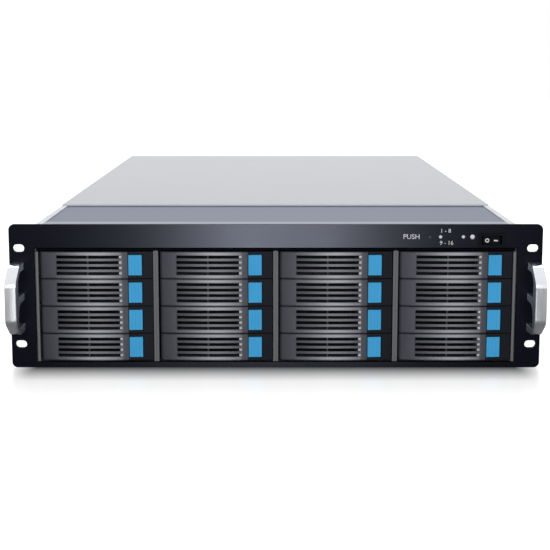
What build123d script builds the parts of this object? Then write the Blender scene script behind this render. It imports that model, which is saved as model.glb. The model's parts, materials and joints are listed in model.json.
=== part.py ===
from build123d import *
import math
import os

# A three-unit rack shelf for sixteen hot-swap disk drives, in four columns and four rows.
# +X is to the right seen from the front, +Y runs back into the shelf and +Z is up, in millimetres.
# Pieces are drawn with y = 0 on the front face of the panel and z = 0 on the underside.
# On export they all move along Y, so that the origin is at the middle of the footprint.

# Rack panel and ears
RACK_UNIT = 44.45
UNITS_HIGH = 3
UNIT_GAP = 0.75
EAR_WIDTH = 22.81
PANEL_THICKNESS = 3.0
PANEL_CORNER = 2.5
PANEL_LIP = 13.0
LIP_INSET = 8.0
EAR_SLOT_INSET = 8.75
EAR_SLOT_RISE = 88.9
EAR_SLOT_LENGTH = 10.3
EAR_SLOT_HEIGHT = 7.0
EAR_FLANGE_THICKNESS = 1.5
EAR_FLANGE_DEPTH = 26.0
EAR_FLANGE_HEIGHT = 92.0
OPENING_BEVEL = 1.0

# Sheet metal body
BODY_DEPTH = 690.0
SHEET = 1.2
COVER_SHEET = 1.0
COVER_SETBACK = 136.0
COVER_DROP = 0.2
COVER_FLANGE_DROP = 10.0
COVER_FLANGE_INSET = 7.0
COVER_REAR_LIP = 16.0
SIDE_FLANGE = 6.0
FRONT_PLATE_OVERLAP = 5.0
RAIL_HOLE_RADIUS = 2.1
RAIL_HOLE_FIRST = 220.0
RAIL_HOLE_SPACING = 200.0
FIT_GAP = 0.3

# Bays
COLUMNS = 4
ROWS = 4
ROW_PITCH = 25.4
ROW_GAP = 0.8
ROWS_BOTTOM = 5.9
OPENING_SILL = 0.9
OPENING_HEAD = 2.8
STRIP_HEAD = 0.4
BAY_CLEARANCE = 0.61
STRIP_WIDTH = 4.5
SIDE_STRIP = 2.9
STRIP_SETBACK = 1.6
STRIP_GROOVE_WIDTH = 0.9
STRIP_GROOVE_DEPTH = 0.6
GUIDE_THICKNESS = 1.0
GUIDE_REACH = 2.5
GUIDE_START = 14.0
GUIDE_LEAD = 8.0
GUIDE_CLEARANCE = 0.25

# Carrier front: a bowed, slotted lever on a vertical pin, with a push latch at its free end
FRONT_SIDE_GAP = 0.7
BOW_CREST = 0.9
BOW_RADIUS = 530.0
LEVER_WALL = 2.2
LEVER_FLANGE = 1.6
KNUCKLE_RADIUS = 2.6
KNUCKLE_SKIN = 1.1
KNUCKLE_INSET = 1.3
NOSE_REACH = 2.5
LUG_HEIGHT = 3.1
PIN_RADIUS = 1.2
PIN_CLEARANCE = 0.05
PIN_SEAT_CLEARANCE = 0.02
SLOT_ROWS = 4
SLOT_HEIGHT = 2.8
SLOT_PITCH = 5.05
SLOT_MARGIN = 15.9
SLOT_RUN = 59.4
SLOT_RIB = 1.3
LIGHT_PIPE_WIDTH = 2.6
LIGHT_PIPE_SETBACK = 0.8
LIGHT_FINGER_SETBACK = 0.3
LATCH_WIDTH = 12.0
LATCH_HEIGHT = 18.6
LATCH_PROUD = 0.4
LATCH_GAP = 0.7
LATCH_TRAVEL = 2.5
LATCH_FLUTES = 3
LATCH_FLUTE_WIDTH = 1.2
LATCH_FLUTE_DEPTH = 0.3
LATCH_STEM_WIDTH = 5.0
LATCH_STEM_HEIGHT = 8.0
LATCH_STEM_LENGTH = 7.5
END_BLOCK = 9.1
FRAME_THICKNESS = 2.4
FRAME_RIM = 2.6

# Sled and drive
DRIVE_WIDTH = 101.6
DRIVE_LENGTH = 147.0
DRIVE_HEIGHT = 20.2
DRIVE_CORNER = 3.0
DRIVE_LID_STEP = 1.4
DRIVE_LID_INSET = 3.0
DRIVE_SETBACK = 8.0
PAN_WALL = 0.7
PAN_CLEARANCE = 0.1
PAN_SIDE_HEIGHT = 15.0
PAN_TAIL = 2.0
PAN_WINDOW_MARGIN = 16.0
PAN_WINDOW_END = 40.0

# Backplane
PLUG_GAP = 0.4
PLUG_DEPTH = 12.5
PLUG_WIDTH = 42.0
PLUG_HEIGHT = 6.0
PLUG_GROOVE = 2.2
BOARD_THICKNESS = 2.4
BOARD_MARGIN = 2.0
BOARD_WINDOW_HEIGHT = 9.0
BOARD_WINDOW_RIB = 8.0

# Handles
HANDLE_WIDTH = 10.5
HANDLE_INSET = 7.8
HANDLE_REACH = 33.0
HANDLE_BAR = 10.0
HANDLE_LEG = 7.5
HANDLE_LEG_PITCH = 28.2
HANDLE_SLOPE_RUN = 17.0
HANDLE_SLOPE_DROP = 13.5
HANDLE_ROUND = 9.0
FINGER_ROUND = 10.0
FINGER_HEEL = 2.5

# Control strip
CONTROL_HEIGHT = 10.85
RESET_INSET = 79.4
RESET_RADIUS = 1.3
RESET_PROUD = 0.8
RESET_FLANGE = 1.2
RESET_TRAVEL = 1.5
LAMP_INSET = (69.7, 49.1, 40.9)
LAMP_RADIUS = (1.6, 1.6, 2.2)
LAMP_PROUD = 1.2
LAMP_BEVEL = 0.8
CONTROL_BOARD_SETBACK = 8.0
CONTROL_BOARD_THICKNESS = 1.6
CONTROL_BOARD_HEIGHT = 15.0
CONTROL_BOARD_MARGIN = 8.0
STANDOFF_RADIUS = 2.5
ROCKER_INSET = 23.6
ROCKER_DROP = 3.0
SWITCH_FACE_WIDTH = 24.4
SWITCH_FACE_HEIGHT = 12.4
SWITCH_FACE_PROUD = 1.6
SWITCH_BODY_WIDTH = 21.0
SWITCH_BODY_HEIGHT = 10.8
SWITCH_BODY_DEPTH = 18.0
SWITCH_WALL = 1.2
ROCKER_LENGTH = 15.4
ROCKER_SIDE_GAP = 0.3
ROCKER_DISH = 1.4
ROCKER_RISE = 1.0
ROCKER_KEEL = 4.0
ROCKER_TILT = 8.0
ROCKER_PIVOT_DEPTH = 1.0
ROCKER_PIVOT_RADIUS = 1.0
ROCKER_PIVOT_LENGTH = 0.8

# Rear fans
FAN_SIZE = 80.0
FAN_DEPTH = 25.0
FAN_DUCT_WALL = 2.0
FAN_CORNER = 3.0
FAN_SCREW_INSET = 4.25
FAN_SCREW_RADIUS = 2.2
FAN_HUB_RADIUS = 17.0
FAN_BLADES = 7
FAN_BLADE_THICKNESS = 1.6
FAN_BLADE_PITCH = 38.0
FAN_BLADE_ROOT = 15.0
FAN_BLADE_TIP = 23.0
FAN_TIP_GAP = 1.2
FAN_MOUNT_THICKNESS = 4.0
FAN_RUNNING_GAP = 0.6
FAN_STRUT_WIDTH = 4.0
FAN_SHAFT_RADIUS = 2.0
FAN_SHAFT_LENGTH = 3.4
FAN_SHAFT_CLEARANCE = 0.05
FAN_PITCH = 88.0
FAN_Z = 66.0
FAN_GUARD_SLOT = 5.0
FAN_GUARD_PITCH = 8.0
FAN_GUARD_COUNT = 9
FAN_GUARD_RADIUS = 36.5

# Rear modules
SUPPLY_WIDTH = 52.0
SUPPLY_HEIGHT = 86.0
SUPPLY_LENGTH = 240.0
SUPPLY_COUNT = 2
SUPPLY_INSET = 4.5
SUPPLY_GAP = 1.2
MODULE_PROUD = 2.0
INLET_WIDTH = 27.0
INLET_HEIGHT = 19.6
INLET_CORNER = 5.0
INLET_DEPTH = 17.0
INLET_FLOOR = 6.5
INLET_OFFSET = 7.0
INLET_PIN = (2.0, 4.0, 11.0)
INLET_PIN_SPREAD = 7.0
INLET_PIN_STEP = 4.0
SUPPLY_VENT_COUNT = 6
SUPPLY_VENT_LENGTH = 40.0
SUPPLY_VENT_HEIGHT = 3.0
SUPPLY_VENT_PITCH = 6.0
SUPPLY_VENT_DEPTH = 6.0
SUPPLY_VENT_FLOOR = 49.0
BAIL_SPAN = 38.0
BAIL_REACH = 20.0
BAIL_BAR = 5.0
BAIL_ROUND = 5.0
BAIL_HEIGHT = 37.0
TAB_WIDTH = 5.0
TAB_HEIGHT = 13.0
TAB_PROUD = 5.0
TAB_OFFSET = 20.0
CANISTER_INSET = 6.5
CANISTER_WIDTH = 118.0
CANISTER_HEIGHT = 42.0
CANISTER_LENGTH = 150.0
PORT_COUNT = 3
PORT_WIDTH = 23.0
PORT_HEIGHT = 8.5
PORT_DEPTH = 15.0
PORT_PITCH = 26.5
PORT_FIRST = 25.0
PORT_FLOOR = 22.0
SERVICE_PORT = 12.0
SERVICE_PORT_FLOOR = 5.5
KNOB_RADIUS = 4.5
KNOB_LENGTH = 9.0
KNOB_INSET = 8.0
VENT_SLOT_HEIGHT = 4.0
VENT_SLOT_PITCH = 8.0
VENT_MARGIN = 8.0
VENT_COLUMNS = 2
VENT_RIB = 8.0
CUT_EXTRA = 1.0

# Sizes that follow from those above
PANEL_HEIGHT = UNITS_HIGH * RACK_UNIT - UNIT_GAP
BODY_TOP = PANEL_HEIGHT - COVER_SHEET - COVER_DROP
PAN_HALF = DRIVE_WIDTH / 2 + PAN_CLEARANCE + PAN_WALL
BAY_WIDTH = 2 * (PAN_HALF + BAY_CLEARANCE)
BAY_PITCH = BAY_WIDTH + STRIP_WIDTH
BAY_SIDE = (BAY_PITCH - SHEET) / 2
BODY_WIDTH = COLUMNS * BAY_WIDTH + (COLUMNS - 1) * STRIP_WIDTH + 2 * SIDE_STRIP
BODY_HALF = BODY_WIDTH / 2
PANEL_WIDTH = BODY_WIDTH + 2 * EAR_WIDTH
EAR_SLOT_SPAN = PANEL_WIDTH - 2 * EAR_SLOT_INSET
HANDLE_SPAN = PANEL_WIDTH - 2 * HANDLE_INSET
INNER_HALF = BODY_HALF - SHEET
REAR_INSIDE = BODY_DEPTH - SHEET
OPENING_HALF = BODY_HALF + FIT_GAP
OPENING_BOTTOM = ROWS_BOTTOM - OPENING_SILL
OPENING_TOP = ROWS_BOTTOM + ROWS * ROW_PITCH + OPENING_HEAD
CEILING_BOTTOM = ROWS_BOTTOM + ROWS * ROW_PITCH + OPENING_SILL
STRIP_TOP = ROWS_BOTTOM + ROWS * ROW_PITCH + STRIP_HEAD
FRONT_HALF = BAY_WIDTH / 2 - FRONT_SIDE_GAP
FRONT_HEIGHT = ROW_PITCH - ROW_GAP
FRONT_TOP = FRONT_HEIGHT / 2


def bow(u):
    """How far the bowed carrier front lies behind the panel face, u from the middle of the carrier."""
    return BOW_CREST + BOW_RADIUS - math.sqrt(BOW_RADIUS**2 - u**2)


PIVOT_U = KNUCKLE_INSET + KNUCKLE_RADIUS - FRONT_HALF
NOSE_RADIUS = KNUCKLE_RADIUS + FIT_GAP + KNUCKLE_SKIN
PIVOT_Y = bow(PIVOT_U) + NOSE_RADIUS
LEVER_BACK = PIVOT_Y + KNUCKLE_RADIUS
FRAME_FRONT = LEVER_BACK + FIT_GAP
FRAME_BACK = FRAME_FRONT + FRAME_THICKNESS
END_BLOCK_U = FRONT_HALF - END_BLOCK
LATCH_RIGHT = END_BLOCK_U - LATCH_GAP
LATCH_LEFT = LATCH_RIGHT - LATCH_WIDTH
LATCH_MID = (LATCH_LEFT + LATCH_RIGHT) / 2
LEVER_END = LATCH_LEFT - LATCH_GAP
SLOT_LEFT = SLOT_MARGIN - FRONT_HALF
SLOT_RIGHT = SLOT_LEFT + SLOT_RUN
LIGHT_PIPE_LEFT = SLOT_RIGHT - LIGHT_PIPE_WIDTH
PAN_BOTTOM = GUIDE_THICKNESS + GUIDE_CLEARANCE - ROW_PITCH / 2
DRIVE_BOTTOM = PAN_BOTTOM + PAN_WALL
DRIVE_FRONT = FRAME_BACK + DRIVE_SETBACK
DRIVE_REAR = DRIVE_FRONT + DRIVE_LENGTH
PLUG_FRONT = DRIVE_REAR + PLUG_GAP
BOARD_FRONT = PLUG_FRONT + PLUG_DEPTH
CONTROL_Z = OPENING_TOP + CONTROL_HEIGHT
ROCKER_Z = CONTROL_Z - ROCKER_DROP
ROCKER_X = BODY_HALF - ROCKER_INSET
RESET_X = BODY_HALF - RESET_INSET
LAMP_X = [BODY_HALF - inset for inset in LAMP_INSET]
CONTROL_BOARD_FRONT = PANEL_THICKNESS + CONTROL_BOARD_SETBACK
FAN_FRONT = REAR_INSIDE - FAN_DEPTH
FAN_DUCT_RADIUS = FAN_SIZE / 2 - FAN_DUCT_WALL
FAN_SCREW_SPAN = FAN_SIZE - 2 * FAN_SCREW_INSET
SUPPLY_REAR = BODY_DEPTH + MODULE_PROUD
SUPPLY_FIRST_X = SUPPLY_INSET - BODY_HALF
SUPPLIES_RIGHT = SUPPLY_FIRST_X + SUPPLY_COUNT * (SUPPLY_WIDTH + SUPPLY_GAP) - SUPPLY_GAP
SUPPLY_TOP = SHEET + SUPPLY_HEIGHT
CANISTER_X = BODY_HALF - CANISTER_INSET - CANISTER_WIDTH
CANISTER_TOP = SHEET + CANISTER_HEIGHT
FAN_MIDDLE = (SUPPLIES_RIGHT + CANISTER_X) / 2
FAN_X = (FAN_MIDDLE - FAN_PITCH / 2, FAN_MIDDLE + FAN_PITCH / 2)
ORIGIN_Y = (SUPPLY_REAR + BAIL_REACH - HANDLE_REACH) / 2


def rect(left, right, low, high):
    """A rectangle between two pairs of limits."""
    return Pos((left + right) / 2, (low + high) / 2) * Rectangle(right - left, high - low)


def along_x(profile, start, end):
    """Extrudes a profile drawn in Y and Z."""
    return extrude(Plane.YZ.offset(start) * profile, amount=end - start)


def along_y(profile, start, end):
    """Extrudes a profile drawn in X and Z."""
    plane = Plane(origin=(0, end, 0), x_dir=(1, 0, 0), z_dir=(0, -1, 0))
    return extrude(plane * profile, amount=end - start)


def along_z(profile, start, end):
    """Extrudes a profile drawn in X and Y."""
    return extrude(Plane.XY.offset(start) * profile, amount=end - start)


def pin_along_y(radius, start, end, x=0, z=0):
    """A round pin with its axis along Y."""
    return along_y(Pos(x, z) * Circle(radius), start, end)


def group(*pieces):
    """Several separate solids kept in one node."""
    return Compound([solid for piece in pieces for solid in piece.solids()])


def column_x(column):
    return (column - (COLUMNS - 1) / 2) * BAY_PITCH


def row_z(row):
    """Middle height of a row, with row 0 at the top."""
    return ROWS_BOTTOM + (ROWS - row - 0.5) * ROW_PITCH


def mirrored(shape):
    """The shape and its mirror image across the middle of the shelf."""
    return [shape, mirror(shape, about=Plane.YZ)]


# Body


def vent_slots(left, right, low, high):
    """Level slots, in two columns, that fill a rectangle of the rear wall."""
    rows = max(1, int((high - low - 2 * VENT_MARGIN) // VENT_SLOT_PITCH) + 1)
    room = right - left - 2 * VENT_MARGIN
    length = (room - (VENT_COLUMNS - 1) * VENT_RIB) / VENT_COLUMNS
    slot = Rectangle(length, VENT_SLOT_HEIGHT)
    middle = Pos((left + right) / 2, (low + high) / 2)
    places = GridLocations(length + VENT_RIB, VENT_SLOT_PITCH, VENT_COLUMNS, rows)
    return [middle * place * slot for place in places]


def fan_guard_slots(x):
    """Upright slots that fill a circle of the rear wall in front of a fan."""
    slots = []
    for number in range(FAN_GUARD_COUNT):
        offset = (number - (FAN_GUARD_COUNT - 1) / 2) * FAN_GUARD_PITCH
        reach = abs(offset) + FAN_GUARD_SLOT / 2
        length = 2 * math.sqrt(FAN_GUARD_RADIUS**2 - reach**2)
        slots.append(Pos(x + offset, FAN_Z) * Rectangle(FAN_GUARD_SLOT, length))
    return slots


def supply_left(number):
    return SUPPLY_FIRST_X + number * (SUPPLY_WIDTH + SUPPLY_GAP)


def rear_wall():
    wall = rect(-INNER_HALF, INNER_HALF, SHEET, BODY_TOP - SHEET)
    canister_right = CANISTER_X + CANISTER_WIDTH
    wall -= rect(SUPPLY_FIRST_X - FIT_GAP, SUPPLIES_RIGHT + FIT_GAP, SHEET - CUT_EXTRA, SUPPLY_TOP + FIT_GAP)
    wall -= rect(CANISTER_X - FIT_GAP, canister_right + FIT_GAP, SHEET - CUT_EXTRA, CANISTER_TOP + FIT_GAP)
    wall -= vent_slots(SUPPLY_FIRST_X, SUPPLIES_RIGHT, SUPPLY_TOP, BODY_TOP - COVER_REAR_LIP)
    wall -= vent_slots(CANISTER_X, canister_right, CANISTER_TOP, BODY_TOP - COVER_REAR_LIP)
    for x in FAN_X:
        wall -= fan_guard_slots(x)
    return along_y(wall, REAR_INSIDE, BODY_DEPTH)


def body_shell():
    """Folded floor and sides, with inward flanges at the top and folded edges beside the outer carriers."""
    section = rect(-BODY_HALF, BODY_HALF, 0, BODY_TOP)
    section -= rect(-INNER_HALF, INNER_HALF, SHEET, BODY_TOP - SHEET)
    section -= rect(SIDE_FLANGE - BODY_HALF, BODY_HALF - SIDE_FLANGE, BODY_TOP - SHEET, BODY_TOP)
    shell = along_y(section, PANEL_THICKNESS, BODY_DEPTH)
    edge = rect(BODY_HALF - SIDE_STRIP, BODY_HALF, OPENING_BOTTOM + FIT_GAP, STRIP_TOP)
    shell += mirrored(along_y(edge, STRIP_SETBACK, PANEL_THICKNESS + SHEET))
    for number in range(2):
        hole = Pos(RAIL_HOLE_FIRST + number * RAIL_HOLE_SPACING, PANEL_HEIGHT / 2) * Circle(RAIL_HOLE_RADIUS)
        shell -= along_x(hole, -BODY_WIDTH, BODY_WIDTH)
    return shell


def top_cover():
    """Lift-off sheet with a front hem, two side flanges and a rear lip."""
    top = BODY_TOP + COVER_SHEET
    lip_outside = BODY_DEPTH + FIT_GAP + COVER_SHEET
    side = rect(COVER_SETBACK, lip_outside, BODY_TOP, top)
    side += rect(COVER_SETBACK, COVER_SETBACK + COVER_SHEET, BODY_TOP - SHEET + FIT_GAP, BODY_TOP)
    cover = along_x(side, SIDE_FLANGE + FIT_GAP - BODY_HALF, BODY_HALF - SIDE_FLANGE - FIT_GAP)
    cover += along_z(rect(-BODY_HALF, BODY_HALF, COVER_SETBACK, lip_outside), BODY_TOP, top)
    lip = rect(-INNER_HALF, INNER_HALF, BODY_TOP - COVER_REAR_LIP, BODY_TOP)
    cover += along_y(lip, BODY_DEPTH + FIT_GAP, lip_outside)
    flange_x = BODY_HALF - COVER_FLANGE_INSET
    flange = rect(flange_x - COVER_SHEET, flange_x, BODY_TOP - COVER_FLANGE_DROP, BODY_TOP)
    flange_start = COVER_SETBACK + FRONT_PLATE_OVERLAP + CUT_EXTRA
    cover += mirrored(along_y(flange, flange_start, FAN_FRONT))
    return cover


# Panel and controls


def front_panel():
    """Flat panel with slotted ears, one large opening and the holes of the controls."""
    middle = PANEL_HEIGHT / 2
    face = Pos(0, middle) * RectangleRounded(PANEL_WIDTH, PANEL_HEIGHT, PANEL_CORNER)
    ear_slot = SlotOverall(EAR_SLOT_LENGTH, EAR_SLOT_HEIGHT)
    face -= [Pos(0, middle) * place * ear_slot for place in GridLocations(EAR_SLOT_SPAN, EAR_SLOT_RISE, 2, 2)]
    face -= Pos(RESET_X, CONTROL_Z) * Circle(RESET_RADIUS + FIT_GAP / 2)
    for x, radius in zip(LAMP_X, LAMP_RADIUS):
        face -= Pos(x, CONTROL_Z) * Circle(radius)
    face -= Pos(ROCKER_X, ROCKER_Z) * Rectangle(SWITCH_BODY_WIDTH, SWITCH_BODY_HEIGHT)
    panel = along_y(face, 0, PANEL_THICKNESS)
    opening = rect(-OPENING_HALF, OPENING_HALF, OPENING_BOTTOM, OPENING_TOP)
    panel -= along_y(opening, -CUT_EXTRA, PANEL_THICKNESS + CUT_EXTRA)
    head = panel.edges().filter_by(Axis.X).group_by(Axis.Y)[0].sort_by_distance((0, 0, OPENING_TOP))[0]
    return chamfer(head, OPENING_BEVEL)


def panel_brackets():
    """Lip behind the top edge of the panel, and two side plates that hold the panel to the body."""
    lip_half = BODY_HALF - LIP_INSET
    lip = rect(-lip_half, lip_half, PANEL_HEIGHT - SHEET, PANEL_HEIGHT)
    low = (PANEL_HEIGHT - EAR_FLANGE_HEIGHT) / 2
    plate = rect(OPENING_HALF, OPENING_HALF + EAR_FLANGE_THICKNESS, low, low + EAR_FLANGE_HEIGHT)
    side = along_y(plate, PANEL_THICKNESS, PANEL_THICKNESS + EAR_FLANGE_DEPTH)
    return [along_y(lip, PANEL_THICKNESS, PANEL_THICKNESS + PANEL_LIP), *mirrored(side)]


def lamp(x, radius):
    """Clear lamp with a bevelled nose that reaches back to the control board."""
    body = pin_along_y(radius, -LAMP_PROUD, CONTROL_BOARD_FRONT, x, CONTROL_Z)
    nose = body.edges().group_by(Axis.Y)[0]
    return chamfer(nose, LAMP_BEVEL)


def control_board():
    """Small circuit board on two standoffs behind the strip, with the push contact for the button."""
    left = RESET_X - CONTROL_BOARD_MARGIN
    right = LAMP_X[2] + LAMP_RADIUS[2]
    outline = rect(left, right, CONTROL_Z - CONTROL_BOARD_HEIGHT / 2, CONTROL_Z + CONTROL_BOARD_HEIGHT / 2)
    board = along_y(outline, CONTROL_BOARD_FRONT, CONTROL_BOARD_FRONT + CONTROL_BOARD_THICKNESS)
    post_z = CONTROL_Z + CONTROL_BOARD_HEIGHT / 2 - STANDOFF_RADIUS
    posts = [left + STANDOFF_RADIUS, (LAMP_X[0] + LAMP_X[1]) / 2]
    for x in posts:
        board += pin_along_y(STANDOFF_RADIUS, PANEL_THICKNESS, CONTROL_BOARD_FRONT, x, post_z)
    contact = RESET_RADIUS + RESET_FLANGE
    button_end = CONTROL_BOARD_FRONT - FIT_GAP - RESET_FLANGE
    pad = Pos(RESET_X, CONTROL_Z) * Rectangle(2 * contact, 2 * contact)
    board += along_y(pad, button_end + FIT_GAP, CONTROL_BOARD_FRONT)
    return board


def reset_button():
    """Small push button with a collar that holds it behind the panel."""
    end = CONTROL_BOARD_FRONT - FIT_GAP - RESET_FLANGE - RESET_TRAVEL
    button = pin_along_y(RESET_RADIUS, -RESET_PROUD, end, RESET_X, CONTROL_Z)
    collar = pin_along_y(
        RESET_RADIUS + RESET_FLANGE,
        PANEL_THICKNESS + FIT_GAP,
        PANEL_THICKNESS + FIT_GAP + RESET_FLANGE,
        RESET_X,
        CONTROL_Z,
    )
    return button + collar


def switch_housing():
    """Snap-in frame of the power switch, open at the front, with pivot holes above and below."""
    place = Pos(ROCKER_X, ROCKER_Z)
    housing = along_y(place * Rectangle(SWITCH_FACE_WIDTH, SWITCH_FACE_HEIGHT), -SWITCH_FACE_PROUD, 0)
    body = place * Rectangle(SWITCH_BODY_WIDTH - FIT_GAP, SWITCH_BODY_HEIGHT - FIT_GAP)
    housing += along_y(body, 0, SWITCH_BODY_DEPTH)
    well_width = SWITCH_BODY_WIDTH - FIT_GAP - 2 * SWITCH_WALL
    well_height = SWITCH_BODY_HEIGHT - FIT_GAP - 2 * SWITCH_WALL
    well_depth = ROCKER_PIVOT_DEPTH + ROCKER_KEEL + SWITCH_WALL
    housing -= along_y(place * Rectangle(well_width, well_height), -SWITCH_FACE_PROUD, well_depth)
    pivot = Cylinder(ROCKER_PIVOT_RADIUS + PIN_CLEARANCE, well_height + 2 * ROCKER_PIVOT_LENGTH + FIT_GAP)
    return housing - Pos(ROCKER_X, ROCKER_PIVOT_DEPTH, ROCKER_Z) * pivot


def power_rocker():
    """Dished rocker on an upright pivot, tilted so that its left end is pressed in."""
    half = ROCKER_LENGTH / 2
    high = -SWITCH_FACE_PROUD - ROCKER_RISE
    plan = Polyline(
        (-half, high),
        (0, high + ROCKER_DISH),
        (half, high),
        (half, ROCKER_PIVOT_DEPTH),
        (0, ROCKER_PIVOT_DEPTH + ROCKER_KEEL),
        (-half, ROCKER_PIVOT_DEPTH),
        close=True,
    )
    height = SWITCH_BODY_HEIGHT - FIT_GAP - 2 * SWITCH_WALL - 2 * ROCKER_SIDE_GAP
    rocker = along_z(make_face(plan.edges()), -height / 2, height / 2)
    pivot = Cylinder(ROCKER_PIVOT_RADIUS, height + 2 * ROCKER_SIDE_GAP + 2 * ROCKER_PIVOT_LENGTH)
    rocker += Pos(0, ROCKER_PIVOT_DEPTH, 0) * pivot
    tilted = Pos(0, ROCKER_PIVOT_DEPTH, 0) * Rot(0, 0, -ROCKER_TILT) * Pos(0, -ROCKER_PIVOT_DEPTH, 0) * rocker
    return Pos(ROCKER_X, 0, ROCKER_Z) * tilted


# Handles


def rack_handle():
    """Bow handle with three legs, sloped shoulders and two finger openings, drawn from the side."""
    top = HANDLE_LEG_PITCH + HANDLE_LEG / 2
    shoulder = HANDLE_SLOPE_RUN - HANDLE_REACH
    brow = top - HANDLE_SLOPE_DROP
    outline = Polyline(
        (0, top),
        (shoulder, top),
        (-HANDLE_REACH, brow),
        (-HANDLE_REACH, -brow),
        (shoulder, -top),
        (0, -top),
        close=True,
    )
    side = make_face(outline.edges())
    side = fillet(side.vertices().filter_by_position(Axis.X, -2 * HANDLE_REACH, -CUT_EXTRA), HANDLE_ROUND)
    finger_top = HANDLE_LEG_PITCH - HANDLE_LEG / 2
    finger = rect(HANDLE_BAR - HANDLE_REACH, FINGER_ROUND, HANDLE_LEG / 2, finger_top)
    corners = finger.vertices().group_by(Axis.X)[0].sort_by(Axis.Y)
    finger = fillet(corners[0], FINGER_HEEL)
    corners = finger.vertices().sort_by_distance((HANDLE_BAR - HANDLE_REACH, finger_top))
    finger = fillet(corners[0], FINGER_ROUND)
    side -= finger
    side -= Pos(0, -HANDLE_LEG_PITCH) * finger
    return along_x(side, -HANDLE_WIDTH / 2, HANDLE_WIDTH / 2)


# Cage


def divider(x):
    """Upright wall between two columns, with a grooved face strip at the front."""
    plan = rect(x - SHEET / 2, x + SHEET / 2, PANEL_THICKNESS, BOARD_FRONT)
    wall = along_z(plan, SHEET, CEILING_BOTTOM)
    strip = rect(x - STRIP_WIDTH / 2, x + STRIP_WIDTH / 2, STRIP_SETBACK, PANEL_THICKNESS)
    groove_half = STRIP_GROOVE_WIDTH / 2
    strip -= rect(x - groove_half, x + groove_half, STRIP_SETBACK, STRIP_SETBACK + STRIP_GROOVE_DEPTH)
    return wall + along_z(strip, OPENING_BOTTOM + FIT_GAP, STRIP_TOP)


def guide(wall_x, side, low):
    """Moulded runner on a wall, tapered at the front, that carries one edge of a sled."""
    reach = BAY_SIDE - PAN_HALF + GUIDE_REACH
    tip = wall_x + side * reach
    plan = Polyline(
        (wall_x, GUIDE_START),
        (tip, GUIDE_START + GUIDE_LEAD),
        (tip, PLUG_FRONT),
        (wall_x, PLUG_FRONT),
        close=True,
    )
    return along_z(make_face(plan.edges()), low, low + GUIDE_THICKNESS)


def drive_cage():
    ceiling_plan = rect(-INNER_HALF, INNER_HALF, PANEL_THICKNESS + SHEET, BOARD_FRONT)
    pieces = [along_z(ceiling_plan, CEILING_BOTTOM, CEILING_BOTTOM + SHEET)]
    plate_plan = rect(-INNER_HALF, INNER_HALF, PANEL_THICKNESS, COVER_SETBACK + FRONT_PLATE_OVERLAP)
    pieces.append(along_z(plate_plan, BODY_TOP - 2 * SHEET, BODY_TOP - SHEET))
    for boundary in range(1, COLUMNS):
        pieces.append(divider(column_x(boundary) - BAY_PITCH / 2))
    for column in range(COLUMNS):
        left = column_x(column) - BAY_SIDE
        right = column_x(column) + BAY_SIDE
        if column == 0:
            left = -INNER_HALF
        if column == COLUMNS - 1:
            right = INNER_HALF
        for row in range(ROWS):
            low = row_z(row) - ROW_PITCH / 2
            pieces.append(guide(left, 1, low))
            pieces.append(guide(right, -1, low))
    return group(*pieces)


def backplane():
    """Upright board with two air windows over each drive plug."""
    low = SHEET + BOARD_MARGIN
    half = INNER_HALF - BOARD_MARGIN
    face = rect(-half, half, low, CEILING_BOTTOM - BOARD_MARGIN)
    window = Rectangle(BAY_PITCH / 2 - BOARD_WINDOW_RIB, BOARD_WINDOW_HEIGHT)
    plug_low = DRIVE_BOTTOM + CUT_EXTRA
    plugs = []
    for column in range(COLUMNS):
        for row in range(ROWS):
            x = column_x(column)
            z = row_z(row)
            window_z = z + plug_low + PLUG_HEIGHT + CUT_EXTRA + BOARD_WINDOW_HEIGHT / 2
            face -= [Pos(x, window_z) * place * window for place in GridLocations(BAY_PITCH / 2, 0, 2, 1)]
            plug = rect(PLUG_FRONT, BOARD_FRONT, z + plug_low, z + plug_low + PLUG_HEIGHT)
            groove_low = z + plug_low + (PLUG_HEIGHT - PLUG_GROOVE) / 2
            plug -= rect(PLUG_FRONT, PLUG_FRONT + PLUG_DEPTH / 2, groove_low, groove_low + PLUG_GROOVE)
            plugs.append(along_x(plug, x - PLUG_WIDTH / 2, x + PLUG_WIDTH / 2))
    board = along_y(face, BOARD_FRONT, BOARD_FRONT + BOARD_THICKNESS)
    return group(board, *plugs)


# Carriers, drawn around the middle of their bay


def bowed_band(left, right, offset, back):
    """Plan of a slab whose front follows the bow and whose back is straight."""
    middle = (left + right) / 2
    start = (left, bow(left) + offset)
    end = (right, bow(right) + offset)
    front = ThreePointArc(start, (middle, bow(middle) + offset), end)
    rest = Polyline(end, (right, back), (left, back), start)
    return make_face(front.edges() + rest.edges())


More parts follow.
